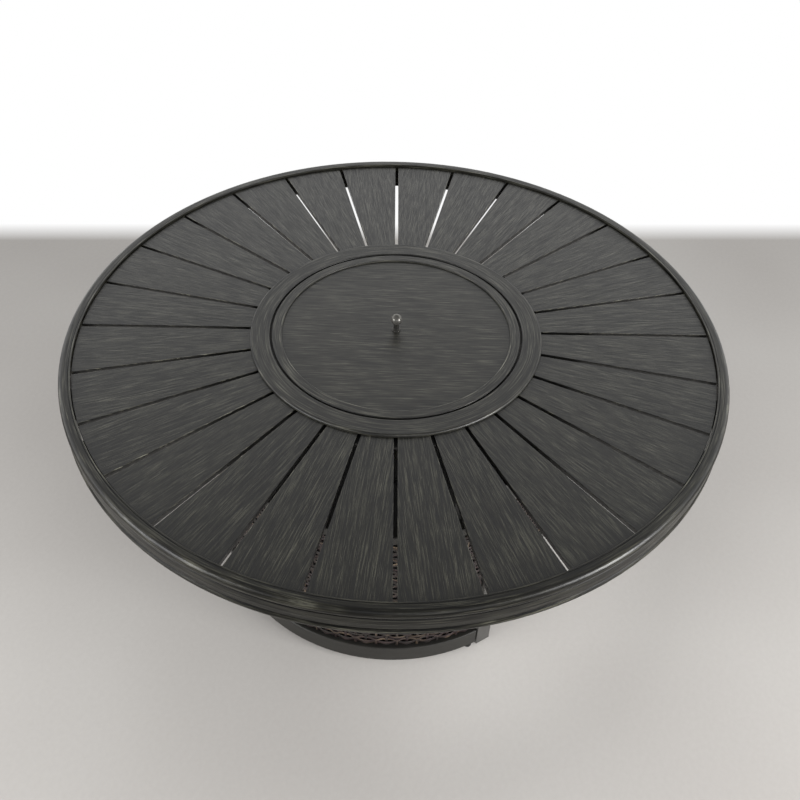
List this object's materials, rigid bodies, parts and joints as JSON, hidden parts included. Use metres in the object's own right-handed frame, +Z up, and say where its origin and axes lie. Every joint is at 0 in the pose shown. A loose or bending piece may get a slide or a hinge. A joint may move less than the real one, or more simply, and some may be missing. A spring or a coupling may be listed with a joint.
{
  "type": "fire pit table",
  "caption": "Round gas fire pit table with a radial slat top, a lift-off lid over the fire bowl, and a wicker drum base with a recessed access door.",
  "frame": {"origin": "on the floor, under the centre of the round top", "axes": "+Z up; the access door and the controls face -Y; +X is to the right of someone who faces the door from outside"},
  "size_m": [1.3718, 1.3718, 0.682],
  "materials": {
    "charcoal_slat": "brushed faux-wood paint on aluminium, satin",
    "charcoal_rim": "brushed faux-wood paint on aluminium, satin, strokes round the rim",
    "charcoal_ring": "brushed faux-wood paint on aluminium, satin, strokes round the ring",
    "charcoal_lid": "brushed faux-wood paint on aluminium, satin, straight strokes",
    "dark_metal": "polished dark metal",
    "grey_powder": "dark grey powder coat",
    "jamb_grey": "mid grey smooth paint",
    "black_frame": "black powder coat",
    "soot_black": "black heat-proof coat on steel",
    "steel": "stainless steel",
    "brass": "machined brass",
    "ceramic": "glazed white ceramic",
    "lava": "porous dark lava rock",
    "black_plastic": "black moulded plastic",
    "red_plastic": "red moulded plastic",
    "wicker": "woven brown resin wicker",
    "black_rubber": "black rubber"
  },
  "bodies": {
    "table": {"slat_01": "charcoal_slat", "slat_02": "charcoal_slat", "slat_03": "charcoal_slat", "slat_04": "charcoal_slat", "slat_05": "charcoal_slat", "slat_06": "charcoal_slat", "slat_07": "charcoal_slat", "slat_08": "charcoal_slat", "slat_09": "charcoal_slat", "slat_10": "charcoal_slat", "slat_11": "charcoal_slat", "slat_12": "charcoal_slat", "slat_13": "charcoal_slat", "slat_14": "charcoal_slat", "slat_15": "charcoal_slat", "slat_16": "charcoal_slat", "slat_17": "charcoal_slat", "slat_18": "charcoal_slat", "slat_19": "charcoal_slat", "slat_20": "charcoal_slat", "slat_21": "charcoal_slat", "slat_22": "charcoal_slat", "slat_23": "charcoal_slat", "slat_24": "charcoal_slat", "slat_25": "charcoal_slat", "slat_26": "charcoal_slat", "slat_27": "charcoal_slat", "slat_28": "charcoal_slat", "outer_rim": "charcoal_rim", "surround_ring": "charcoal_ring", "top_frame": "black_frame", "slat_screws": "steel", "fire_bowl": "soot_black", "burner_ring": "steel", "lava_rocks": "lava", "igniter_electrode": "ceramic", "gas_line": "brass", "gas_valve": "brass", "control_plate": "black_frame", "igniter_module": "black_plastic", "bottom_ring": "grey_powder", "wicker_shell": "wicker", "top_rail": "grey_powder", "legs": "black_frame", "base_plate": "black_frame", "glides": "black_rubber", "door_jambs": "jamb_grey", "hinge_leaves": "steel", "magnet_catch": "black_plastic"},
    "lid": {"lid_plate": "charcoal_lid", "lid_band": "charcoal_ring", "lid_knob": "dark_metal"},
    "door": {"door_frame": "grey_powder", "door_wicker": "wicker", "door_pull": "dark_metal", "strike_plate": "steel"},
    "knob_push": {"stem_collar": "steel"},
    "gas_knob": {"gas_knob": "black_plastic", "valve_stem": "brass"},
    "igniter_button": {"igniter_button": "red_plastic"}
  },
  "joints": [
    {"name": "lid_lift", "type": "slide", "parent": "table", "child": "lid", "axis": [0, 0, 1], "range_m": [0, 0.3]},
    {"name": "door_hinge", "type": "hinge", "parent": "table", "child": "door", "pos_m": [0.16398, -0.37402, 0.25], "axis": [0, 0, 1], "range_deg": [0, 110]},
    {"name": "knob_push_in", "type": "slide", "parent": "table", "child": "knob_push", "axis": [0, 1, 0], "range_m": [0, 0.003], "stiffness_N_per_m": 800, "springref_m": -0.002},
    {"name": "gas_knob_turn", "type": "hinge", "parent": "knob_push", "child": "gas_knob", "pos_m": [-0.055, -0.37281, 0.523], "axis": [0, -1, 0], "range_deg": [0, 180]},
    {"name": "igniter_push", "type": "slide", "parent": "table", "child": "igniter_button", "axis": [0, 1, 0], "range_m": [0, 0.004], "stiffness_N_per_m": 600, "springref_m": -0.002}
  ]
}
